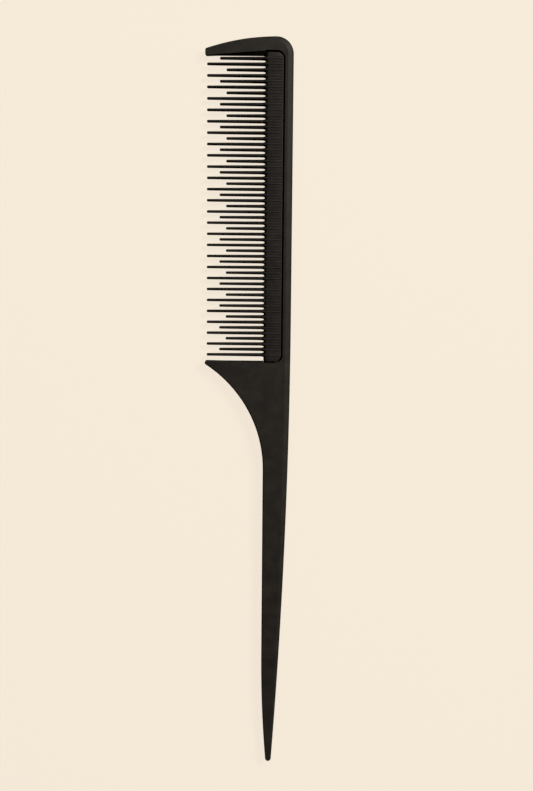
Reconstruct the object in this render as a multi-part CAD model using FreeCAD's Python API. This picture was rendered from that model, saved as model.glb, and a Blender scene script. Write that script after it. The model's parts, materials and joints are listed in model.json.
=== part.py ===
"""A rat tail comb, for teasing and sectioning hair.

The comb lies flat.  +Y runs from the tail tip to the head, +X from the tooth tips to the back edge and
+Z up through its thickness.  It comes apart into a frame, a root bar that seats in the frame's window,
and one leaf for each tooth, whose tang fills its own slot in the bar.

Every piece is drawn in drafting coordinates first: x = 0 on the straight back edge, y = 0 at the tail
tip and z = 0 on the mid-plane, and both faces are alike.  place() then moves it so that the origin is
the centre of the comb's footprint, on the surface that it lies on.
"""

import FreeCAD
import Part
import math
import os

from FreeCAD import Vector

# ---- driving dimensions, in millimetres -------------------------------------------------------------

# whole comb
overall_length = 230.0
head_width = 26.85           # back edge to the nose of the shoulder
body_thickness = 4.2         # spine, grip, and the roots of the guard and the shoulder
free_end_thickness = 1.8     # guard and shoulder at their free ends
crown_start = 10.0           # back edge to where the faces start to fall away towards the free ends

# teeth
tooth_count = 54
tooth_pitch = 1.7
tooth_length = {"short": 11.85, "medium": 13.85, "long": 17.75}
length_cycle = ("medium", "long", "short", "long")
tooth_root_width = 1.0
tooth_tip_width = 0.8
tooth_crest_width = 0.4      # flat along the top of a tooth, the rest of its width slopes
tooth_root_depth = 2.6
tooth_tip_depth = 1.3
tooth_tip_round = 0.3
tooth_root_rise = 0.9        # length over which a tooth climbs to the bar's face

# tooth window in the frame
root_line = 8.5              # back edge to the bottom of the gaps between teeth
spine_width = 2.55           # back edge to the window
window_past_guard = 1.5      # window's end beyond the guard's inner edge
window_past_shoulder = 0.55
window_corner_radius = 2.5
guard_to_first_tooth = 0.7   # inner edge to the tooth's centre line
last_tooth_to_shoulder = 1.85

# slopes of the window's two inner edges
guard_slope_at_root = 1.35
guard_slope_at_tip = 0.1
shoulder_slope_at_root = 0.45
shoulder_slope_at_tip = 0.15

# root bar
bar_recess = 0.25            # frame's face down to the bar's face
bar_line_gap = 0.5           # open line between the bar and the window
bar_nose = 0.75              # depth of the bar's rounded front
tongue_thickness = 1.4
tongue_depth = 1.2           # how far the tongue reaches past the window into the frame
tang_crest_rise = 0.08       # tang's crest above the bar's face
tang_back_land = 0.3         # slot's end to the bar's back edge
tang_line_width = 0.25       # shallow line on the bar along each side of a tang
tang_line_depth = 0.12
seat_clearance = 0.03        # bar to frame, and tang to slot

# outline of the frame
guard_height = 5.75          # head to the guard's inner edge
guard_length = 26.8          # back edge to the guard's free end
guard_end_height = 2.1
guard_end_radius = 0.6
head_corner_radius = 5.2
head_corner_turn = 92.0      # degrees, from the back edge round to the start of the guard's top
shoulder_nose_radius = 0.7
shoulder_sweep_radius = 39.3
grip_width = 8.42
back_bend_start = 13.4       # straight back edge carries on this far above the shoulder's inner edge
tail_narrowing = 36.0        # length of the tail's last, narrowing stretch
tail_tip_radius = 0.93
tail_tip_inset = 5.95        # line of the back edge to the middle of the tail's tip
tail_tip_thickness = 2.6

# edges
facet_width = 1.6            # long facet along the back edge, on each face
facet_depth = 0.75
facet_run_out = 9.0          # where the facet leaves the head and climbs out of the guard's edge

# ---- sizes and places that follow -------------------------------------------------------------------

half_thickness = body_thickness / 2
bar_half_thickness = half_thickness - bar_recess
tang_half_depth = bar_half_thickness + tang_crest_rise

guard_edge_y = overall_length - guard_height
first_tooth_y = guard_edge_y - guard_to_first_tooth
last_tooth_y = first_tooth_y - (tooth_count - 1) * tooth_pitch
shoulder_edge_y = last_tooth_y - last_tooth_to_shoulder
window_top_y = guard_edge_y + window_past_guard
window_low_y = shoulder_edge_y - window_past_shoulder
window_mouth_x = -root_line - seat_clearance
bar_back_x = -spine_width - bar_line_gap
tang_back_x = bar_back_x - tang_back_land

far_side = max(head_width, guard_length, root_line + max(tooth_length.values()))
past = body_thickness        # how far a cutter carries on beyond what it cuts
up = Vector(0, 0, 1)


# ---- drawing helpers --------------------------------------------------------------------------------

def line(start, end):
    return Part.LineSegment(start, end).toShape()


def point_on(centre, radius, degrees):
    angle = math.radians(degrees)
    return centre + Vector(radius * math.cos(angle), radius * math.sin(angle), 0)


def arc(centre, radius, start_degrees, end_degrees):
    middle_degrees = (start_degrees + end_degrees) / 2
    stops = [point_on(centre, radius, turn) for turn in (start_degrees, middle_degrees, end_degrees)]
    return Part.Arc(*stops).toShape()


def heading(start, end):
    """Direction from one point to another, in degrees from 0 up to 360."""
    return math.degrees(math.atan2(end.y - start.y, end.x - start.x)) % 360


def radius_to_wrap(offset, run, tip_radius):
    """Radius of an arc that leaves a straight line and ends tangent round a circle at its far end."""
    return (offset ** 2 + run ** 2 - tip_radius ** 2) / (2 * (offset - tip_radius))


def radius_to_fall(drop, run):
    """Radius of an arc that leaves a straight line and is a given drop away from it after a given run."""
    return (drop ** 2 + run ** 2) / (2 * drop)


def plane_face(edges):
    return Part.Face(Part.Wire(Part.__sortEdges__(edges)))


def polygon_face(points):
    return Part.Face(Part.makePolygon(points + [points[0]]))


def plate(edges, thickness):
    """A flat plate with its middle on the mid-plane."""
    return plane_face(edges).extrude(Vector(0, 0, thickness)).translate(Vector(0, 0, -thickness / 2))


def ruled_solid(sections):
    """A solid through several polygons that have the same number of corners."""
    return Part.makeLoft([Part.makePolygon(points + [points[0]]) for points in sections], True, True)


def on_both_faces(shapes):
    return shapes + [shape.mirror(Vector(0, 0, 0), up) for shape in shapes]


# ---- frame ------------------------------------------------------------------------------------------

tip_centre = Vector(-tail_tip_inset, tail_tip_radius, 0)
corner_centre = Vector(-head_corner_radius, overall_length - head_corner_radius, 0)

back_bend_y = shoulder_edge_y + back_bend_start
back_radius = radius_to_wrap(tail_tip_inset, back_bend_y - tip_centre.y, tail_tip_radius)
back_centre = Vector(-back_radius, back_bend_y, 0)

tail_side_radius = radius_to_wrap(grip_width - tail_tip_inset, tail_narrowing - tip_centre.y, tail_tip_radius)
tail_side_centre = Vector(tail_side_radius - grip_width, tail_narrowing, 0)

corner_end = point_on(corner_centre, head_corner_radius, head_corner_turn)
guard_run = Vector(-guard_length, guard_edge_y + guard_end_height, 0) - corner_end
guard_fall = guard_run.dot(corner_centre - corner_end) / head_corner_radius
guard_radius = guard_run.dot(guard_run) / (2 * guard_fall)
guard_centre = point_on(corner_centre, head_corner_radius - guard_radius, head_corner_turn)

nose_centre = Vector(shoulder_nose_radius - head_width, shoulder_edge_y - shoulder_nose_radius, 0)
sweep_x = -grip_width - shoulder_sweep_radius
sweep_fall = math.sqrt((shoulder_sweep_radius + shoulder_nose_radius) ** 2 - (nose_centre.x - sweep_x) ** 2)
sweep_centre = Vector(sweep_x, nose_centre.y - sweep_fall, 0)


def outer_edges():
    """The frame's outline on the mid-plane, clockwise from the tail's tip round to its narrowing side."""
    end_x = guard_end_radius - guard_length
    end_rise = math.sqrt((guard_radius - guard_end_radius) ** 2 - (end_x - guard_centre.x) ** 2)
    upper_end = Vector(end_x, guard_centre.y + end_rise, 0)
    lower_end = Vector(end_x, guard_edge_y + guard_end_radius, 0)
    end_heading = heading(guard_centre, upper_end)
    nose_heading = heading(sweep_centre, nose_centre)
    back_heading = heading(back_centre, tip_centre) - 360
    side_heading = heading(tail_side_centre, tip_centre)
    return [
        arc(tip_centre, tail_tip_radius, side_heading, back_heading + 360),
        arc(back_centre, back_radius, back_heading, 0),
        line(Vector(0, back_bend_y, 0), Vector(0, corner_centre.y, 0)),
        arc(corner_centre, head_corner_radius, 0, head_corner_turn),
        arc(guard_centre, guard_radius, head_corner_turn, end_heading),
        arc(upper_end, guard_end_radius, end_heading, 180),
        line(Vector(-guard_length, upper_end.y, 0), Vector(-guard_length, lower_end.y, 0)),
        arc(lower_end, guard_end_radius, 180, 270),
        line(Vector(end_x, guard_edge_y, 0), Vector(window_mouth_x, guard_edge_y, 0)),
        line(Vector(window_mouth_x, guard_edge_y, 0), Vector(window_mouth_x, window_top_y, 0)),
        line(Vector(window_mouth_x, window_low_y, 0), Vector(window_mouth_x, shoulder_edge_y, 0)),
        line(Vector(window_mouth_x, shoulder_edge_y, 0), Vector(nose_centre.x, shoulder_edge_y, 0)),
        arc(nose_centre, shoulder_nose_radius, 90, nose_heading + 180),
        arc(sweep_centre, shoulder_sweep_radius, nose_heading, 0),
        line(Vector(-grip_width, sweep_centre.y, 0), Vector(-grip_width, tail_narrowing, 0)),
        arc(tail_side_centre, tail_side_radius, 180, side_heading),
    ]


def window_edges(mouth_x, growth):
    """The window's end, back and end, with rounded corners, moved outwards by growth."""
    back = growth - spine_width
    top = window_top_y + growth
    low = window_low_y - growth
    radius = window_corner_radius + growth
    return [
        line(Vector(mouth_x, top, 0), Vector(back - radius, top, 0)),
        arc(Vector(back - radius, top - radius, 0), radius, 90, 0),
        line(Vector(back, top - radius, 0), Vector(back, low + radius, 0)),
        arc(Vector(back - radius, low + radius, 0), radius, 0, -90),
        line(Vector(back - radius, low, 0), Vector(mouth_x, low, 0)),
    ]


def window_plate(mouth_x, growth, thickness):
    mouth = line(Vector(mouth_x, window_low_y - growth, 0), Vector(mouth_x, window_top_y + growth, 0))
    return plate(window_edges(mouth_x, growth) + [mouth], thickness)


def falling_faces(run, drop, breadth, along):
    """A slab as thick as the body whose two faces fall away in arcs.

    along is the direction in which they fall and starts where the fall starts; the slab reaches breadth
    to each side of it, and carries on level before the fall and after it.
    """
    radius = radius_to_fall(drop, run)
    turn = math.degrees(math.asin(run / radius))
    centre = Vector(0, half_thickness - radius, 0)
    start = Vector(0, half_thickness, 0)
    end = point_on(centre, radius, 90 - turn)
    before = start - Vector(overall_length + past, 0, 0)
    after = end + Vector(past, 0, 0)
    upper = [line(before, start), arc(centre, radius, 90, 90 - turn), line(end, after)]
    lower = [edge.mirror(Vector(0, 0, 0), Vector(0, 1, 0)) for edge in upper]
    ends = [line(point, Vector(point.x, -point.y, 0)) for point in (before, after)]
    slab = plane_face(upper + lower + ends).extrude(Vector(0, 0, 2 * breadth))
    slab.translate(Vector(0, 0, -breadth))
    slab.rotate(Vector(0, 0, 0), Vector(1, 0, 0), 90)
    slab.rotate(Vector(0, 0, 0), up, math.degrees(math.atan2(along.y, along.x)))
    return slab


def facet_cutters():
    """What the facet takes off the front face along the tail, the spine and the head's corner."""
    straight_start = Vector(0, back_bend_y, 0)
    straight_end = Vector(0, corner_centre.y, 0)
    fall = past / facet_width * facet_depth
    corners = [
        Vector(-2 * facet_width, 0, half_thickness + facet_depth),
        Vector(past, 0, half_thickness + facet_depth),
        Vector(past, 0, half_thickness - facet_depth - fall),
    ]
    at_start = polygon_face([straight_start + corner for corner in corners])
    at_end = polygon_face([straight_end + corner for corner in corners])
    tail_turn = math.degrees(math.asin((back_bend_y + past) / back_radius))
    at_top = at_end.copy()
    at_top.rotate(corner_centre, up, head_corner_turn)
    return [
        at_start.revolve(back_centre, up, -tail_turn),
        at_start.extrude(straight_end - straight_start),
        at_end.revolve(corner_centre, up, head_corner_turn),
        at_top.extrude(Vector(-facet_run_out, facet_width, 0)),
    ]


def slope_cutter(edge_y, inwards, at_root, at_tip):
    """A wedge that slopes one inner edge of the window, from the mid-plane out to the front face."""
    sections = []
    for x, slope in ((-far_side - past, at_tip), (window_mouth_x, at_root)):
        sections.append([
            Vector(x, edge_y, 0),
            Vector(x, edge_y + inwards * slope, half_thickness),
            Vector(x, edge_y - inwards * past, half_thickness),
            Vector(x, edge_y - inwards * past, 0),
        ])
    return ruled_solid(sections)


def make_frame():
    body = plate(outer_edges() + window_edges(window_mouth_x, 0), body_thickness)

    crown = falling_faces(far_side - crown_start, (body_thickness - free_end_thickness) / 2,
                          overall_length, Vector(-1, 0, 0))
    crown.translate(Vector(-crown_start, overall_length / 2, 0))
    taper = falling_faces(sweep_centre.y, (body_thickness - tail_tip_thickness) / 2,
                          far_side, Vector(0, -1, 0))
    taper.translate(Vector(0, sweep_centre.y, 0))
    body = body.common(crown).common(taper)

    cutters = facet_cutters()
    cutters.append(slope_cutter(guard_edge_y, 1, guard_slope_at_root, guard_slope_at_tip))
    cutters.append(slope_cutter(shoulder_edge_y, -1, shoulder_slope_at_root, shoulder_slope_at_tip))
    groove = window_plate(window_mouth_x, tongue_depth, tongue_thickness + 2 * seat_clearance)
    return body.cut(on_both_faces(cutters) + [groove])


# ---- root bar and teeth -----------------------------------------------------------------------------

def leaf_section(x, y, width, crest, depth):
    """A tooth's six-sided section: widest on the mid-plane, with a flat crest on each face."""
    return [
        Vector(x, y - width / 2, 0),
        Vector(x, y - crest / 2, depth / 2),
        Vector(x, y + crest / 2, depth / 2),
        Vector(x, y + width / 2, 0),
        Vector(x, y + crest / 2, -depth / 2),
        Vector(x, y - crest / 2, -depth / 2),
    ]


def make_tooth(y, length):
    """A tine that thins towards its tip, and the tang behind it that fills the slot in the bar."""
    tip_x = -root_line - length
    tang_depth = 2 * tang_half_depth
    blunt = 2 * tooth_tip_round
    return ruled_solid([
        leaf_section(tip_x, y, tooth_tip_width - blunt / 2, tooth_crest_width / 2, tooth_tip_depth - blunt),
        leaf_section(tip_x + tooth_tip_round, y, tooth_tip_width, tooth_crest_width, tooth_tip_depth),
        leaf_section(-root_line - tooth_root_rise, y, tooth_root_width, tooth_crest_width, tooth_root_depth),
        leaf_section(bar_nose - root_line, y, tooth_root_width, tooth_crest_width, tang_depth),
        leaf_section(tang_back_x, y, tooth_root_width, tooth_crest_width, tang_depth),
    ])


def slot_cutter(y):
    """The slot that a tang fills, and the shallow line beside it on each face of the bar."""
    front_x = -root_line - past
    grown = 2 * seat_clearance
    slot = ruled_solid([
        leaf_section(x, y, tooth_root_width + grown, tooth_crest_width + grown, 2 * tang_half_depth + grown)
        for x in (front_x, tang_back_x)
    ])
    line_width = tooth_crest_width + 2 * tang_line_width
    relief = Part.makeBox(tang_back_x - front_x, line_width, past,
                          Vector(front_x, y - line_width / 2, bar_half_thickness - tang_line_depth))
    return [slot] + on_both_faces([relief])


def make_bar(tooth_rows):
    """The strip that holds the tangs, with a tongue round its back and both its ends."""
    panel = window_plate(-root_line, -bar_line_gap, 2 * bar_half_thickness)
    tongue = window_plate(-root_line, tongue_depth, tongue_thickness)

    nose_radius = radius_to_fall(bar_nose, bar_half_thickness)
    round_stock = Part.makeCylinder(nose_radius, overall_length, Vector(nose_radius - root_line, 0, 0),
                                    Vector(0, 1, 0))
    back_stock = Part.makeBox(root_line, overall_length, body_thickness,
                              Vector(nose_radius - root_line, 0, -half_thickness))
    bar = panel.fuse(tongue).common(round_stock.fuse(back_stock))

    cutters = []
    for y in tooth_rows:
        cutters += slot_cutter(y)
    return bar.cut(cutters)


# ---- comb -------------------------------------------------------------------------------------------

def place(shape):
    """From drafting coordinates to the comb's own frame."""
    return shape.translate(Vector(far_side / 2, -overall_length / 2, half_thickness))


def main():
    tooth_rows = [first_tooth_y - row * tooth_pitch for row in range(tooth_count)]
    pieces = {"frame": make_frame(), "root_bar": make_bar(tooth_rows)}
    for row, y in enumerate(tooth_rows):
        kind = length_cycle[row % len(length_cycle)]
        pieces[f"tooth_{row + 1:02d}_{kind}"] = make_tooth(y, tooth_length[kind])

    os.makedirs("parts", exist_ok=True)
    for name, shape in pieces.items():
        piece = place(shape)
        piece.exportStep(f"parts/{name}.step")
        print(f"{name}: {len(piece.Solids)} solid, {piece.Volume:.1f} mm3, valid {piece.isValid()}")


main()
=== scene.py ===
import bmesh
import bpy
import json
import math
from mathutils import Matrix, Vector

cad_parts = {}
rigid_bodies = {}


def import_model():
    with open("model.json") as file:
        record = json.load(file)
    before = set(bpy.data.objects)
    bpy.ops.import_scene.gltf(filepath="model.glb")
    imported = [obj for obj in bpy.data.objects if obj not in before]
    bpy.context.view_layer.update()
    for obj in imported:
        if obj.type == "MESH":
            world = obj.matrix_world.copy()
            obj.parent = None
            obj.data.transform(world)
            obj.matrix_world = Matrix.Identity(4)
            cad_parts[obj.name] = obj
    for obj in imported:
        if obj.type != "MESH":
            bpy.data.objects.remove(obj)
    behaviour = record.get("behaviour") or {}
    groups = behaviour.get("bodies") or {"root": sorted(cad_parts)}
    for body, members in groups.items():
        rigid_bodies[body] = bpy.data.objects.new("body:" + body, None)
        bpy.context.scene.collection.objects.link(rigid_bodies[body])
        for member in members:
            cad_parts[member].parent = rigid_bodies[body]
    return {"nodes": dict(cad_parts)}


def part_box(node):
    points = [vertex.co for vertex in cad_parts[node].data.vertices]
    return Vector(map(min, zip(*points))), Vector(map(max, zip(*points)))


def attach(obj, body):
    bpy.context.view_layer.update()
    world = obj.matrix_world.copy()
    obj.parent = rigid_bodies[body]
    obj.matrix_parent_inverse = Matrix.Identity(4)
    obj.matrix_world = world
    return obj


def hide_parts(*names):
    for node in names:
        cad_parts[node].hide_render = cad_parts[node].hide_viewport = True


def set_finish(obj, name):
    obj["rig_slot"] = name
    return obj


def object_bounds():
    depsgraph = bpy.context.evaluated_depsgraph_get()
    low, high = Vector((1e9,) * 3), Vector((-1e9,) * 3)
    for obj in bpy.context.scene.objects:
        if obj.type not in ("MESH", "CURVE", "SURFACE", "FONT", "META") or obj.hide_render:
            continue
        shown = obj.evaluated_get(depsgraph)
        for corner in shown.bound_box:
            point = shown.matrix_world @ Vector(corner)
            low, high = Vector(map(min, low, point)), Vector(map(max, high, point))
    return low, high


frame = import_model()
cadBox = [list(corner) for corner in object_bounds()]
print("frame loaded:", len(frame["nodes"]), "nodes")

mm = 0.001
combLow, combHigh = (Vector(corner) for corner in cadBox)
backX = combHigh.x                      # straight part of the back edge
tailY = combLow.y                       # tip of the tail
midZ = (combLow.z + combHigh.z) / 2     # parting plane, half way through the thickness
halfThick = (combHigh.z - combLow.z) / 2 / mm
combLength = (combHigh.y - combLow.y) / mm
upward = (0, 0, 1)


def spot(x, y, z=0.0):
    # millimetres from the back edge, the tail's tip and the parting plane
    return Vector((backX + x * mm, tailY + y * mm, midZ + z * mm))


def deselectAll():
    if bpy.context.object and bpy.context.object.mode != "OBJECT":
        bpy.ops.object.mode_set(mode="OBJECT")
    bpy.ops.object.select_all(action="DESELECT")


def makeActive(piece):
    deselectAll()
    piece.select_set(True)
    bpy.context.view_layer.objects.active = piece


def pick(test):
    # in edit mode, selects the vertices that pass the test, and the edges and faces between them
    mesh = bpy.context.edit_object.data
    net = bmesh.from_edit_mesh(mesh)
    bpy.ops.mesh.select_all(action="DESELECT")
    for vert in net.verts:
        vert.select_set(bool(test(vert)))
    net.select_flush(True)
    bmesh.update_edit_mesh(mesh)


def near(value, target, slack=0.02 * mm):
    return abs(value - target) < slack


def cutAcross(place, facing, slack=0.002 * mm):
    # in edit mode, one straight cut through the whole piece
    bpy.ops.mesh.select_all(action="SELECT")
    bpy.ops.mesh.bisect(plane_co=place, plane_no=facing, threshold=slack)


def addModifier(piece, kind, **settings):
    makeActive(piece)
    modifier = piece.modifiers.new(kind.lower(), kind)
    for name, value in settings.items():
        setattr(modifier, name, value)
    bpy.ops.object.modifier_apply(modifier=modifier.name)


def finishMesh(piece, sharpDegrees):
    # place goes into the mesh, faces point outwards, curves shade smoothly
    makeActive(piece)
    bpy.ops.object.transform_apply(location=True, rotation=True, scale=True)
    bpy.ops.object.mode_set(mode="EDIT")
    bpy.ops.mesh.select_all(action="SELECT")
    bpy.ops.mesh.remove_doubles(threshold=0.001 * mm)
    bpy.ops.mesh.normals_make_consistent(inside=False)
    bpy.ops.object.mode_set(mode="OBJECT")
    bpy.ops.object.shade_smooth_by_angle(angle=math.radians(sharpDegrees))


view = {"aimFromBack": 7.40, "aimFromTail": 120.58, "distance": 353.8,
        "tilt": 7.37, "turn": 0.48, "lens": 51.13, "sensor": 36.0}


def placeCamera():
    tilt = math.radians(view["tilt"])
    turn = math.radians(view["turn"])
    back = view["distance"] * math.sin(tilt)
    place = spot(-view["aimFromBack"] - back * math.sin(turn), view["aimFromTail"] + back * math.cos(turn),
                 view["distance"] * math.cos(tilt))
    deselectAll()
    bpy.ops.object.camera_add(location=place, rotation=(-tilt, 0, turn))
    camera = bpy.context.object
    camera.name = "combCamera"
    camera.data.sensor_fit = "VERTICAL"
    camera.data.sensor_height = view["sensor"]
    camera.data.lens = view["lens"]
    camera.data.clip_start = 0.01
    bpy.context.scene.camera = camera


placeCamera()
print("camera placed")

# frame: spine, guard, shoulder, grip and tail, drawn as three long lines and bridged
combFrame = {
    "rootLine": 8.5, "spineWidth": 2.55, "windowCorner": 2.5,
    "guardEdge": 224.25, "windowTop": 225.75, "guardSlope": 1.35,
    "shoulderEdge": 131.6, "windowLow": 131.05, "mouthStep": 0.06,
    "headCorner": 5.2, "headTurn": 92.0, "guardLength": 26.8, "guardEndHeight": 2.1, "guardEnd": 0.6,
    "noseRadius": 0.7, "headWidth": 26.85, "sweepRadius": 39.3, "gripWidth": 8.42,
    "shoulderStops": (122.0, 124.5, 128.0, 128.4, 129.8),    # where the inner edge's corners are met across
    "backBend": 145.0, "tailNarrowing": 36.0, "tipRadius": 0.93, "tipInset": 5.95,
    "facetWidth": 1.6, "facetDepth": 0.75, "facetTip": 0.43,
    "facetEnd": 14.5, "facetEndWidth": 0.5, "facetEndDepth": 0.02,
    "crownStart": 10.0, "crownCuts": 10, "freeEndThick": 1.8, "taperStart": 97.2, "tipThick": 2.6,
    "tailFall": 0.75,                       # share of the facet's depth that is gone at the tail's tip
    "rim": 0.45, "rimAtTip": 0.2, "guardRim": 0.34, "innerRim": 0.12, "ridgeRound": 0.1,
    "noseStart": 26.05, "rimFade": 9.0,     # the inner edge's rounding grows over rimFade, up to noseStart
    "endGap": 5,                            # degrees left open between two lines at each round end
    "fallStart": 96.0,                      # the guard's and shoulder's faces fall away from here up
    # points along each stretch; the three lines run side by side from the tail to the bend
    "steps": {"tip": 5, "tail": 12, "grip": 12, "sweep": 20, "nose": 8, "shoulder": 10, "mouth": 1,
              "barEnd": 3, "lowCorner": 8, "bend": 4, "spine": 14, "aboveSpine": 2, "topCorner": 12,
              "headCorner": 10, "guardInside": 12, "guardTop": 8},
}


def radiusToWrap(offset, run, tipRadius):
    # arc that leaves a straight line and ends tangent round a small circle
    return (offset ** 2 + run ** 2 - tipRadius ** 2) / (2 * (offset - tipRadius))


def headingTo(start, end):
    return math.degrees(math.atan2(end[1] - start[1], end[0] - start[0])) % 360


def drawEdge(name, start, strokes):
    # strokes are ("line", end, steps) or ("arc", centre, degrees, steps), where degrees run anticlockwise
    deselectAll()
    bpy.ops.mesh.primitive_plane_add(size=mm, location=spot(*start, halfThick))
    piece = bpy.context.object
    piece.name = name
    bpy.ops.object.transform_apply(location=True, rotation=False, scale=False)
    bpy.ops.object.mode_set(mode="EDIT")
    bpy.ops.mesh.select_all(action="SELECT")
    bpy.ops.mesh.merge(type="CENTER")
    pen = Vector(start)
    for kind, goal, *amounts in strokes:
        goal = Vector(goal)
        if kind == "arc":
            degrees, steps = amounts
            bpy.ops.mesh.spin(steps=steps, angle=-math.radians(degrees), center=spot(*goal, halfThick),
                              axis=upward)
            pen = goal + Matrix.Rotation(math.radians(degrees), 2) @ (pen - goal)
        else:
            steps = amounts[0]
            leap = (goal - pen) / steps * mm
            for step in range(steps):
                bpy.ops.mesh.extrude_vertices_move(TRANSFORM_OT_translate={"value": (leap.x, leap.y, 0)})
            pen = goal
    bpy.ops.mesh.select_all(action="SELECT")
    bpy.ops.object.vertex_group_assign_new()
    bpy.ops.object.mode_set(mode="OBJECT")
    piece.vertex_groups[0].name = name
    return piece


def polar(centre, radius, degrees):
    angle = math.radians(degrees)
    return (centre[0] + radius * math.cos(angle), centre[1] + radius * math.sin(angle))


def drawFrameEdges():
    c = combFrame
    steps = c["steps"]
    gap = c["endGap"]
    tip = (-c["tipInset"], c["tipRadius"])
    toTip = c["backBend"] - tip[1]
    backRadius = radiusToWrap(c["tipInset"], toTip, c["tipRadius"])
    backCentre = (-backRadius, c["backBend"])
    ridgeRadius = radiusToWrap(c["tipInset"] - c["facetWidth"], toTip, c["facetTip"])
    ridgeCentre = (-c["facetWidth"] - ridgeRadius, c["backBend"])
    sideRadius = radiusToWrap(c["gripWidth"] - c["tipInset"], c["tailNarrowing"] - tip[1], c["tipRadius"])
    sideCentre = (sideRadius - c["gripWidth"], c["tailNarrowing"])
    sideTip = headingTo(sideCentre, tip)

    nose = (c["noseRadius"] - c["headWidth"], c["shoulderEdge"] - c["noseRadius"])
    sweepX = -c["gripWidth"] - c["sweepRadius"]
    sweepY = nose[1] - math.sqrt((c["sweepRadius"] + c["noseRadius"]) ** 2 - (nose[0] - sweepX) ** 2)
    noseTurn = headingTo((sweepX, sweepY), nose)

    head = (-c["headCorner"], combLength - c["headCorner"])
    cornerEnd = Vector(polar(head, c["headCorner"], c["headTurn"]))
    guardRun = Vector((-c["guardLength"], c["guardEdge"] + c["guardEndHeight"])) - cornerEnd
    guardFall = guardRun.dot(Vector(head) - cornerEnd) / c["headCorner"]
    guardRadius = guardRun.length_squared / (2 * guardFall)
    guardCentre = polar(head, c["headCorner"] - guardRadius, c["headTurn"])
    endX = c["guardEnd"] - c["guardLength"]
    endRise = math.sqrt((guardRadius - c["guardEnd"]) ** 2 - (endX - guardCentre[0]) ** 2)
    upperEnd = (endX, guardCentre[1] + endRise)
    lowerEnd = (endX, c["guardEdge"] + c["guardEnd"])
    endTurn = headingTo(guardCentre, upperEnd) - c["headTurn"]
    facetTurn = math.degrees(math.asin((c["facetEnd"] + guardCentre[0]) / guardRadius)) + 90 - c["headTurn"]

    cornerX = -c["spineWidth"] - c["windowCorner"]
    lowCorner = (cornerX, c["windowLow"] + c["windowCorner"])
    topCorner = (cornerX, c["windowTop"] - c["windowCorner"])

    innerEdge = drawEdge("innerEdge", polar(tip, c["tipRadius"], 270 - gap), [
        ("arc", tip, sideTip - 270 + gap, steps["tip"]),
        ("arc", sideCentre, 180 - sideTip, steps["tail"]),
        ("line", (-c["gripWidth"], sweepY), steps["grip"]),
        ("arc", (sweepX, sweepY), noseTurn, steps["sweep"]),
        ("arc", nose, -noseTurn - 90, steps["nose"]),
        ("line", (-c["rootLine"] - c["mouthStep"], c["windowLow"]), steps["shoulder"]),
        ("line", (-c["rootLine"], c["windowLow"]), steps["mouth"]),
        ("line", (cornerX, c["windowLow"]), steps["barEnd"]),
        ("arc", lowCorner, 90, steps["lowCorner"]),
        ("line", (-c["spineWidth"], c["backBend"]), steps["bend"]),
        ("line", (-c["spineWidth"], topCorner[1]), steps["spine"]),
        ("arc", topCorner, 90, steps["topCorner"]),
        ("line", (-c["rootLine"], c["windowTop"]), steps["barEnd"]),
        ("line", (-c["rootLine"], c["guardEdge"] + c["guardSlope"]), steps["mouth"]),
        ("line", (endX, c["guardEdge"]), steps["guardInside"]),
        ("arc", lowerEnd, gap - 90, steps["tip"])])

    def alongBack(centre, radius):
        # steps that keep pace with the inner edge's, one stroke for each of its strokes
        stops = [tip[1], c["tailNarrowing"], sweepY, *c["shoulderStops"], lowCorner[1], c["backBend"]]
        turns = [math.degrees(math.asin((stop - centre[1]) / radius)) for stop in stops]
        turns[0] = headingTo(centre, tip) - 360
        stretches = ("tail", "grip", "sweep", "nose", "shoulder", "mouth", "barEnd", "lowCorner", "bend")
        return [("arc", centre, after - before, steps[stretch])
                for before, after, stretch in zip(turns, turns[1:], stretches)]

    backTurn = headingTo(backCentre, tip) - 360
    backEdge = drawEdge("backEdge", polar(tip, c["tipRadius"], 270 + gap), [
        ("arc", tip, 90 - gap + backTurn, steps["tip"]),
        *alongBack(backCentre, backRadius),
        ("line", (0, topCorner[1]), steps["spine"]),
        ("line", (0, head[1]), steps["aboveSpine"]),
        ("arc", head, c["headTurn"], steps["headCorner"]),
        ("arc", guardCentre, facetTurn, steps["guardTop"]),
        ("arc", guardCentre, endTurn - facetTurn, steps["guardTop"]),
        ("arc", upperEnd, 180 - gap - c["headTurn"] - endTurn, steps["tip"])])

    ridgeTurn = headingTo(ridgeCentre, tip) - 360
    facetStop = polar(guardCentre, guardRadius - c["facetEndWidth"], c["headTurn"] + facetTurn)
    facetRidge = drawEdge("facetRidge", (tip[0], polar(tip, c["tipRadius"], 270 + gap)[1]), [
        ("line", polar(tip, c["facetTip"], ridgeTurn), steps["tip"]),
        *alongBack(ridgeCentre, ridgeRadius),
        ("line", (-c["facetWidth"], topCorner[1]), steps["spine"]),
        ("line", (-c["facetWidth"], head[1]), steps["aboveSpine"]),
        ("arc", head, c["headTurn"], steps["headCorner"]),
        ("line", facetStop, steps["guardTop"]),
        ("arc", guardCentre, endTurn - facetTurn, steps["guardTop"]),
        ("line", (-c["guardLength"], (upperEnd[1] + lowerEnd[1]) / 2), steps["tip"])])
    return innerEdge, facetRidge, backEdge


def inLine(name):
    # test for the vertices drawn in one of the three lines, not the cuts between them
    piece = bpy.context.edit_object
    group = piece.vertex_groups[name].index
    layer = bmesh.from_edit_mesh(piece.data).verts.layers.deform.active
    return lambda vert: vert[layer].get(group, 0) > 0.99


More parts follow.
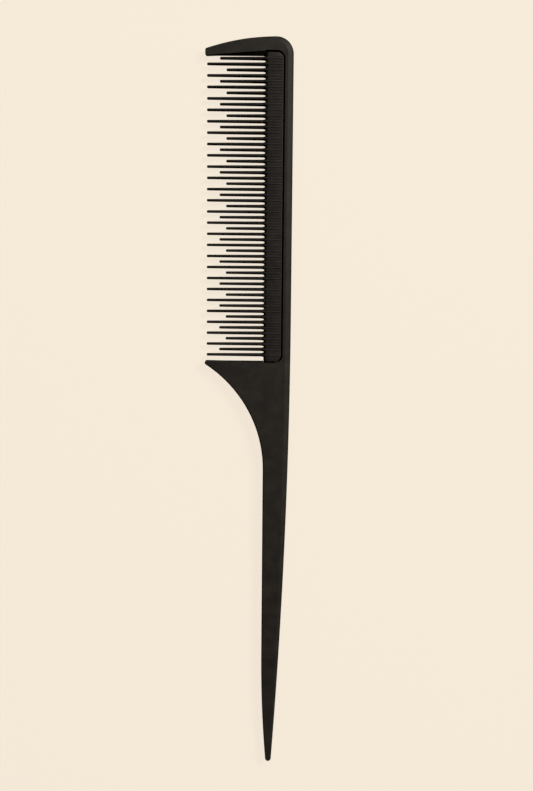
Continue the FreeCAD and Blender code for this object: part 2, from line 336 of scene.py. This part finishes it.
def facetFall(x, y):
    # depth of the back edge below the face, less towards the tail's tip and along the guard
    c = combFrame
    fall = c["facetDepth"]
    if y > c["guardEdge"] and x < -c["headCorner"]:
        share = min(1, (-x - c["headCorner"]) / (c["facetEnd"] - c["headCorner"]))
        fall += share * (c["facetEndDepth"] - fall)
    if y < c["taperStart"]:
        fall *= 1 - c["tailFall"] * (1 - y / c["taperStart"]) ** 2
        fall *= min(1, (x + c["tipInset"]) / c["tipRadius"]) ** 2
    return fall


def lowerBackEdge():
    mesh = bpy.context.edit_object.data
    net = bmesh.from_edit_mesh(mesh)
    isOuter = inLine("backEdge")
    bpy.ops.mesh.select_all(action="DESELECT")
    for vert in net.verts:
        if isOuter(vert):
            place = (vert.co - spot(0, 0)) / mm
            vert.select_set(True)
            bpy.ops.transform.translate(value=(0, 0, -facetFall(place.x, place.y) * mm))
            vert.select_set(False)


def fallAway(start, end, reach, endThick):
    # the face falls towards a free end, drawn down by a helper line laid across that end
    bpy.ops.mesh.select_all(action="DESELECT")
    bpy.ops.mesh.primitive_plane_add(size=mm, location=spot(*start, halfThick))
    bpy.ops.mesh.merge(type="CENTER")
    run = (Vector(end) - Vector(start)) * mm
    bpy.ops.mesh.extrude_vertices_move(TRANSFORM_OT_translate={"value": (run.x, run.y, 0)})
    bpy.ops.mesh.select_linked()
    bpy.ops.mesh.subdivide(number_cuts=99)    # close enough for an even pull
    bpy.ops.transform.resize(
        value=(1, 1, endThick / 2 / halfThick), center_override=spot(0, 0), use_proportional_edit=True,
        proportional_edit_falloff="SHARP", proportional_size=reach * mm)
    bpy.ops.mesh.delete(type="VERT")


def roundingAt(x, y, line):
    # how round the face's edge is at a place on one of the three lines
    c = combFrame
    if line == "facetRidge":
        return c["ridgeRound"]
    if y < c["tailNarrowing"]:
        return c["rimAtTip"] + (c["rim"] - c["rimAtTip"]) * y / c["tailNarrowing"]
    full = c["guardRim"] if y > c["guardEdge"] and x < -c["facetEnd"] else c["rim"]
    if line == "backEdge" or y < c["windowLow"] - 0.1:
        return full
    share = min(1, max(0, (-x - c["noseStart"] + c["rimFade"]) / c["rimFade"]))
    return c["innerRim"] + (full - c["innerRim"]) * share


def roundFaceEdges():
    # bevel weights for the edges of the upper face, none for the walls below it
    mesh = bpy.context.edit_object.data
    net = bmesh.from_edit_mesh(mesh)
    weight = net.edges.layers.float.new("bevel_weight_edge")
    lines = {name: inLine(name) for name in ("facetRidge", "backEdge", "innerEdge")}
    for edge in net.edges:
        if min(vert.co.z for vert in edge.verts) < midZ + 0.3 * mm:
            continue
        middle = ((edge.verts[0].co + edge.verts[1].co) / 2 - spot(0, 0)) / mm
        line = next((name for name, test in lines.items() if all(test(vert) for vert in edge.verts)), None)
        atTail = middle.y < 0.05
        atGuard = middle.x < 0.05 - combFrame["guardLength"] and middle.y > combFrame["guardEdge"]
        if line or atTail or atGuard:
            edge[weight] = roundingAt(middle.x, middle.y, line or "innerEdge") / combFrame["rim"]
    bmesh.update_edit_mesh(mesh)


def buildFrame():
    c = combFrame
    inner, ridge, outer = drawFrameEdges()
    makeActive(outer)
    inner.select_set(True)
    ridge.select_set(True)
    bpy.ops.object.join()
    outer.name = "combFrame"
    bpy.ops.object.mode_set(mode="EDIT")
    isInner, isRidge = inLine("innerEdge"), inLine("facetRidge")
    pick(lambda vert: isInner(vert) or isRidge(vert))
    bpy.ops.mesh.bridge_edge_loops()
    isRidge, isOuter = inLine("facetRidge"), inLine("backEdge")
    pick(lambda vert: isRidge(vert) or isOuter(vert))
    bpy.ops.mesh.bridge_edge_loops()

    # one face round the tail's tip and one round the guard's end: lowest, highest and furthest place
    tailRound = (0, c["tipRadius"], -c["tipInset"] + 3 * c["tipRadius"])
    guardRound = (c["guardEdge"], combLength, c["guardEnd"] - c["guardLength"])
    for low, high, far in (tailRound, guardRound):
        pick(lambda vert: spot(0, low - 0.1).y < vert.co.y < spot(0, high + 0.1).y
             and vert.co.x < spot(far + 0.2, 0).x)
        bpy.ops.mesh.dissolve_faces()
    lowerBackEdge()

    # walls down to the parting plane
    bpy.ops.mesh.select_all(action="SELECT")
    bpy.ops.mesh.region_to_loop()
    bpy.ops.mesh.extrude_edges_move(TRANSFORM_OT_translate={"value": (0, 0, -halfThick * mm)})
    bpy.ops.transform.resize(value=(1, 1, 0), center_override=spot(0, 0))
    isInner = inLine("innerEdge")

    def straighten(edge, low, high, far):
        # the window's slanting edge runs straight on the parting plane
        pick(lambda vert: isInner(vert) and near(vert.co.z, midZ)
             and spot(-far - 0.01, low).y < vert.co.y < spot(0, high).y
             and spot(-far - 0.01, 0).x < vert.co.x < spot(-c["rootLine"] + 0.01, 0).x)
        bpy.ops.transform.resize(value=(1, 0, 1), center_override=spot(0, edge))

    straighten(c["guardEdge"], c["guardEdge"] - 0.1, c["windowTop"] - 0.1, c["guardLength"] - c["guardEnd"])
    straighten(c["shoulderEdge"], c["windowLow"] - 0.1, c["shoulderEdge"] + 0.1,
               c["headWidth"] - c["noseRadius"])
    pick(lambda vert: isInner(vert) and near(vert.co.z, midZ) and near(vert.co.x, spot(-c["rootLine"], 0).x)
         and near(vert.co.y, spot(0, c["shoulderEdge"]).y))
    bpy.ops.transform.resize(value=(1, 0, 1), center_override=spot(0, c["windowLow"]))

    roundFaceEdges()
    bpy.ops.object.mode_set(mode="OBJECT")
    addModifier(outer, "BEVEL", width=c["rim"] * mm, segments=4, limit_method="WEIGHT",
                use_clamp_overlap=False)

    bpy.ops.object.mode_set(mode="EDIT")
    crownRun = c["headWidth"] - c["crownStart"]
    for cut in range(c["crownCuts"]):
        cutAcross(spot(-c["crownStart"] - cut * crownRun / c["crownCuts"], 0), (1, 0, 0), 0.1 * mm)
    fallAway((-c["headWidth"], c["fallStart"]), (-c["headWidth"], combLength), crownRun, c["freeEndThick"])
    fallAway((-c["gripWidth"], 0), (0, 0), c["taperStart"], c["tipThick"])
    bpy.ops.object.mode_set(mode="OBJECT")

    bpy.context.scene.cursor.location = spot(0, 0)
    bpy.ops.object.origin_set(type="ORIGIN_CURSOR")
    addModifier(outer, "MIRROR", use_axis=(False, False, True), merge_threshold=0.001 * mm)
    finishMesh(outer, sharpDegrees=35)
    addModifier(outer, "WEIGHTED_NORMAL", keep_sharp=True, weight=80)
    return outer


combFramePiece = buildFrame()
print("frame built:", len(combFramePiece.data.polygons), "faces")
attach(combFramePiece, "root")
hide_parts("frame")
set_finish(combFramePiece, "comb_plastic")

# root bar: a strip with a bed for each tooth, and a tongue round its back and its ends
rootBar = {
    "front": 8.5, "back": 3.05, "low": 131.55, "top": 225.25, "halfThick": 1.85,
    "cornerRadius": 2.0, "noseRound": 0.95, "noseProfile": 0.34, "edgeRound": 0.1,
    "bedHalf": 0.45, "bedWall": 0.05, "bedDepth": 0.12, "backLand": 0.3,
    "tongueHalf": 0.7, "tongueReach": 0.55, "tongueStart": 0.04,
}
toothNodes = sorted(name for name in frame["nodes"] if name.startswith("tooth_"))


def middleOf(node):
    low, high = (Vector(corner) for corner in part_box(node))
    return (low + high) / 2


def buildBar():
    c = rootBar
    deselectAll()
    low, high = spot(-c["front"], c["low"], -c["halfThick"]), spot(-c["back"], c["top"], c["halfThick"])
    bpy.ops.mesh.primitive_cube_add(size=1, location=(low + high) / 2, scale=high - low)
    bar = bpy.context.object
    bar.name = "rootBar"
    bpy.ops.object.transform_apply(location=True, rotation=False, scale=True)
    bpy.ops.object.mode_set(mode="EDIT")
    for height in (c["low"], c["top"]):
        pick(lambda vert: near(vert.co.x, high.x) and near(vert.co.y, spot(0, height).y))
        bpy.ops.mesh.bevel(offset=c["cornerRadius"] * mm, segments=10)
    for face in (low.z, high.z):
        pick(lambda vert: near(vert.co.x, low.x) and near(vert.co.z, face))
        bpy.ops.mesh.bevel(offset=c["noseRound"] * mm, segments=6, profile=c["noseProfile"])
    noseTop = spot(c["noseRound"] - c["front"], 0).x
    for face in (low.z, high.z):
        pick(lambda vert: near(vert.co.z, face))
        bpy.ops.mesh.region_to_loop()
        dropEdges(lambda edge: all(near(vert.co.x, noseTop) for vert in edge.verts))
        bpy.ops.mesh.bevel(offset=c["edgeRound"] * mm, segments=2)

    # shallow bed for each tooth's tang, so that a line shows along each side of the tang
    bedBack = spot(-c["back"] - c["backLand"], 0).x
    for wall in (0, c["bedWall"] * mm):
        cutAcross((bedBack - wall, 0, 0), (1, 0, 0))
    floorHalf = (c["bedHalf"] - c["bedWall"]) * mm
    heights = [middleOf(node).y for node in toothNodes]
    for height in heights:
        for reach in (-c["bedHalf"] * mm, -floorHalf, floorHalf, c["bedHalf"] * mm):
            cutAcross((0, height + reach, 0), (0, 1, 0))
    for face, push in ((high.z, -1), (low.z, 1)):
        pick(lambda vert: near(vert.co.z, face) and vert.co.x < bedBack - 0.01 * mm
             and any(abs(vert.co.y - height) < floorHalf + 0.01 * mm for height in heights))
        bpy.ops.transform.translate(value=(0, 0, push * c["bedDepth"] * mm))

    # tongue, from just behind the front
    cutAcross((low.x + c["tongueStart"] * mm, 0, 0), (1, 0, 0))
    for side in (-1, 1):
        cutAcross(spot(0, 0, side * c["tongueHalf"]), (0, 0, 1))
    pick(lambda vert: abs(vert.co.z - midZ) < (c["tongueHalf"] + 0.01) * mm
         and vert.co.x > low.x + 0.01 * mm)
    bpy.ops.mesh.extrude_region_shrink_fatten(
        TRANSFORM_OT_shrink_fatten={"value": c["tongueReach"] * mm, "use_even_offset": True})
    bpy.ops.object.mode_set(mode="OBJECT")
    finishMesh(bar, sharpDegrees=35)
    return bar


def dropEdges(test):
    # takes edges out of the selection
    mesh = bpy.context.edit_object.data
    net = bmesh.from_edit_mesh(mesh)
    bpy.ops.mesh.select_mode(type="EDGE")
    for edge in net.edges:
        if edge.select and test(edge):
            edge.select_set(False)
    net.select_flush(False)
    bmesh.update_edit_mesh(mesh)


rootBarPiece = buildBar()
print("bar built:", len(rootBarPiece.data.polygons), "faces")
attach(rootBarPiece, "root")
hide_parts("root_bar")
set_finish(rootBarPiece, "tooth_plastic")

# teeth: three lengths, each modelled once from its tang to its tip, and copied
combTooth = {
    "rootLine": 8.5, "tangBack": 3.35, "edgeRound": 0.07,
    # distance from the root line towards the tip, width and depth; the last two count back from the tip
    "tang": ((-1.0, 1.0, 3.86), (-0.5, 1.12, 3.66), (-0.12, 1.34, 3.42), (0.12, 1.26, 3.2),
             (0.36, 1.1, 2.96), (0.62, 1.03, 2.76), (0.9, 1.0, 2.6)),
    "tip": ((-0.3, 0.8, 1.3), (-0.09, 0.68, 1.08), (0.0, 0.42, 0.7)),
}


def buildTooth(kind, length):
    c = combTooth
    first = c["tang"][0]
    start = spot(-c["tangBack"], 0)
    deselectAll()
    bpy.ops.mesh.primitive_circle_add(vertices=8, radius=0.5 * mm, fill_type="NGON", location=start,
                                      rotation=(0, math.pi / 2, 0))
    tooth = bpy.context.object
    tooth.name = "tooth" + kind.capitalize()
    bpy.ops.object.transform_apply(location=True, rotation=True, scale=True)
    bpy.ops.object.mode_set(mode="EDIT")
    bpy.ops.mesh.select_all(action="SELECT")
    turn = math.radians(22.5)
    bpy.ops.transform.rotate(value=turn, orient_axis="X", center_override=start)
    full = math.cos(turn) * mm              # width across the flats of the drawn circle
    bpy.ops.transform.resize(value=(1, first[1] * mm / full, first[2] * mm / full), center_override=start)
    reach = -c["tangBack"]
    width, depth = first[1:]
    sections = [*c["tang"], *((length + past, *size) for past, *size in c["tip"])]
    for past, nextWidth, nextDepth in sections:
        goal = -c["rootLine"] - past
        bpy.ops.mesh.extrude_region_move(TRANSFORM_OT_translate={"value": ((goal - reach) * mm, 0, 0)})
        bpy.ops.transform.resize(value=(1, nextWidth / width, nextDepth / depth), center_override=start)
        reach, width, depth = goal, nextWidth, nextDepth
    bpy.ops.object.mode_set(mode="OBJECT")
    addModifier(tooth, "BEVEL", width=c["edgeRound"] * mm, segments=2, limit_method="ANGLE",
                angle_limit=math.radians(28))
    finishMesh(tooth, sharpDegrees=40)
    return tooth


def copyTooth(master, node):
    makeActive(master)
    bpy.ops.object.duplicate(linked=False)
    tooth = bpy.context.object
    tooth.name = "comb_" + node
    bpy.ops.transform.translate(value=(0, middleOf(node).y - tailY, 0))
    bpy.ops.object.transform_apply(location=True, rotation=False, scale=False)
    return tooth


masters = {}
for node in toothNodes:
    kind = node.split("_")[-1]
    if kind not in masters:
        low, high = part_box(node)
        masters[kind] = buildTooth(kind, (spot(-combTooth["rootLine"], 0).x - low[0]) / mm)
    tooth = copyTooth(masters[kind], node)
    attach(tooth, "root")
    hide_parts(node)
    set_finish(tooth, "tooth_plastic")
for master in masters.values():
    makeActive(master)
    bpy.ops.object.delete()
print("teeth built:", len(toothNodes))

# finishes: satin moulded plastic, near black, with a fine grain, faint lengthwise rubbing and soft mottling
combPlastic = {
    "darkTone": (0.0092, 0.0084, 0.0075, 1), "paleTone": (0.0150, 0.0137, 0.0122, 1),
    "mottlePerMetre": 240, "grainPerMetre": 5200, "rubAcross": 2600, "rubAlong": 55,
    "roughLow": 0.5, "roughHigh": 0.64, "grainBump": 0.05, "rubBump": 0.02, "specular": 0.1,
}
toothPlastic = {
    "darkTone": (0.0090, 0.0082, 0.0075, 1), "paleTone": (0.0145, 0.0132, 0.0120, 1),
    "mottlePerMetre": 320, "grainPerMetre": 6400, "rubAcross": 3200, "rubAlong": 90,
    "roughLow": 0.48, "roughHigh": 0.6, "grainBump": 0.04, "rubBump": 0.02, "specular": 0.1,
}


def addNode(tree, kind, place, **values):
    node = tree.nodes.new(kind)
    node.location = place
    for name, value in values.items():
        if name in node.inputs:
            node.inputs[name].default_value = value
        else:
            setattr(node, name, value)
    return node


def addRamp(tree, place, stops):
    ramp = addNode(tree, "ShaderNodeValToRGB", place)
    for element, (position, colour) in zip(ramp.color_ramp.elements, stops):
        element.position = position
        element.color = colour
    return ramp


def mouldedPlastic(name, finish, rubAxis):
    material = bpy.data.materials.new(name)
    material.use_nodes = True
    tree = material.node_tree
    link = tree.links.new
    tree.nodes.clear()
    output = addNode(tree, "ShaderNodeOutputMaterial", (900, 0))
    shader = addNode(tree, "ShaderNodeBsdfPrincipled", (600, 0), **{"IOR": 1.5})
    link(shader.outputs["BSDF"], output.inputs["Surface"])
    place = addNode(tree, "ShaderNodeTexCoord", (-1200, 0))

    # soft mottling of the colour
    mottle = addNode(tree, "ShaderNodeTexNoise", (-700, 300), Scale=finish["mottlePerMetre"], Detail=5,
                     Roughness=0.55)
    link(place.outputs["Object"], mottle.inputs["Vector"])
    tone = addRamp(tree, (-400, 300), ((0.35, finish["darkTone"]), (0.7, finish["paleTone"])))
    link(mottle.outputs["Fac"], tone.inputs["Fac"])
    link(tone.outputs["Color"], shader.inputs["Base Color"])

    # rubbing, drawn out along the piece
    stretch = addNode(tree, "ShaderNodeMapping", (-950, -100))
    across, along = finish["rubAcross"], finish["rubAlong"]
    stretch.inputs["Scale"].default_value = [along if axis == rubAxis else across for axis in "xyz"]
    link(place.outputs["Object"], stretch.inputs["Vector"])
    rub = addNode(tree, "ShaderNodeTexNoise", (-700, -100), Scale=1, Detail=3, Roughness=0.6)
    link(stretch.outputs["Vector"], rub.inputs["Vector"])
    grain = addNode(tree, "ShaderNodeTexNoise", (-700, -400), Scale=finish["grainPerMetre"], Detail=2,
                    Roughness=0.5)
    link(place.outputs["Object"], grain.inputs["Vector"])

    low, high = finish["roughLow"], finish["roughHigh"]
    wear = addNode(tree, "ShaderNodeMath", (-450, -50), operation="MULTIPLY_ADD")
    link(rub.outputs["Fac"], wear.inputs[0])
    wear.inputs[1].default_value = 0.5
    link(mottle.outputs["Fac"], wear.inputs[2])
    rough = addNode(tree, "ShaderNodeMapRange", (-200, -50))
    for socket, value in (("From Min", 0.45), ("From Max", 1.05), ("To Min", low), ("To Max", high)):
        rough.inputs[socket].default_value = value
    link(wear.outputs["Value"], rough.inputs["Value"])
    link(rough.outputs["Result"], shader.inputs["Roughness"])

    fine = addNode(tree, "ShaderNodeBump", (-200, -400), Strength=finish["grainBump"], Distance=0.0001)
    link(grain.outputs["Fac"], fine.inputs["Height"])
    lines = addNode(tree, "ShaderNodeBump", (100, -400), Strength=finish["rubBump"], Distance=0.0001)
    link(rub.outputs["Fac"], lines.inputs["Height"])
    link(fine.outputs["Normal"], lines.inputs["Normal"])
    link(lines.outputs["Normal"], shader.inputs["Normal"])
    shader.inputs["Specular IOR Level"].default_value = finish["specular"]
    return material


framePlastic = mouldedPlastic("combPlastic", combPlastic, "y")
teethPlastic = mouldedPlastic("toothPlastic", toothPlastic, "x")
for piece in bpy.data.objects:
    if piece.type == "MESH" and piece.get("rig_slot"):
        piece.data.materials.clear()
        piece.data.materials.append(framePlastic if piece["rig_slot"] == "comb_plastic" else teethPlastic)
print("finishes made")

# pale floor and soft light; the floor glows by itself, so its tone doesn't hang on the lights
studio = {
    "floorSize": 4.0, "floorGlow": (0.905, 0.814, 0.687, 1), "floorGlowStrength": 1.01,
    "floorTone": (0.75, 0.68, 0.57, 1), "floorShare": 0.05,
    "keyAt": (750, 700, 900), "keySize": 450, "keyPower": 31,
    "fillAt": (-200, 400, 430), "fillSize": 220, "fillPower": 0.5,
    "lightsAimAt": (-7, 150), "lightTone": (1.0, 0.93, 0.84),
    "dim": (0.006, 0.006, 0.006, 1),
}


def buildFloor():
    deselectAll()
    bpy.ops.mesh.primitive_plane_add(size=studio["floorSize"],
                                     location=(0, 0, combLow.z - 0.05 * mm))
    floor = bpy.context.object
    floor.name = "paleFloor"
    floor.visible_diffuse = False
    floor.visible_glossy = False
    material = bpy.data.materials.new("palePaper")
    material.use_nodes = True
    tree = material.node_tree
    tree.nodes.clear()
    output = addNode(tree, "ShaderNodeOutputMaterial", (600, 0))
    glow = addNode(tree, "ShaderNodeEmission", (0, 100), Color=studio["floorGlow"],
                   Strength=studio["floorGlowStrength"])
    paper = addNode(tree, "ShaderNodeBsdfDiffuse", (0, -100), Color=studio["floorTone"])
    mix = addNode(tree, "ShaderNodeMixShader", (300, 0), Fac=studio["floorShare"])
    tree.links.new(glow.outputs["Emission"], mix.inputs[1])
    tree.links.new(paper.outputs["BSDF"], mix.inputs[2])
    tree.links.new(mix.outputs["Shader"], output.inputs["Surface"])
    floor.data.materials.append(material)


def addSoftLight(name, place, size, power):
    deselectAll()
    aim = spot(*studio["lightsAimAt"]) - spot(*place)
    turned = aim.to_track_quat("-Z", "Y").to_euler()
    bpy.ops.object.light_add(type="AREA", location=spot(*place), rotation=turned)
    light = bpy.context.object
    light.name = name
    light.data.shape = "DISK"
    light.data.size = size * mm
    light.data.energy = power
    light.data.color = studio["lightTone"]


def setSurroundings():
    world = bpy.data.worlds.new("dimRoom")
    bpy.context.scene.world = world
    world.use_nodes = True
    world.node_tree.nodes["Background"].inputs["Color"].default_value = studio["dim"]
    bpy.context.scene.view_settings.view_transform = "Standard"


buildFloor()
addSoftLight("keyLight", studio["keyAt"], studio["keySize"], studio["keyPower"])
addSoftLight("fillLight", studio["fillAt"], studio["fillSize"], studio["fillPower"])
setSurroundings()
print("floor and lights set")
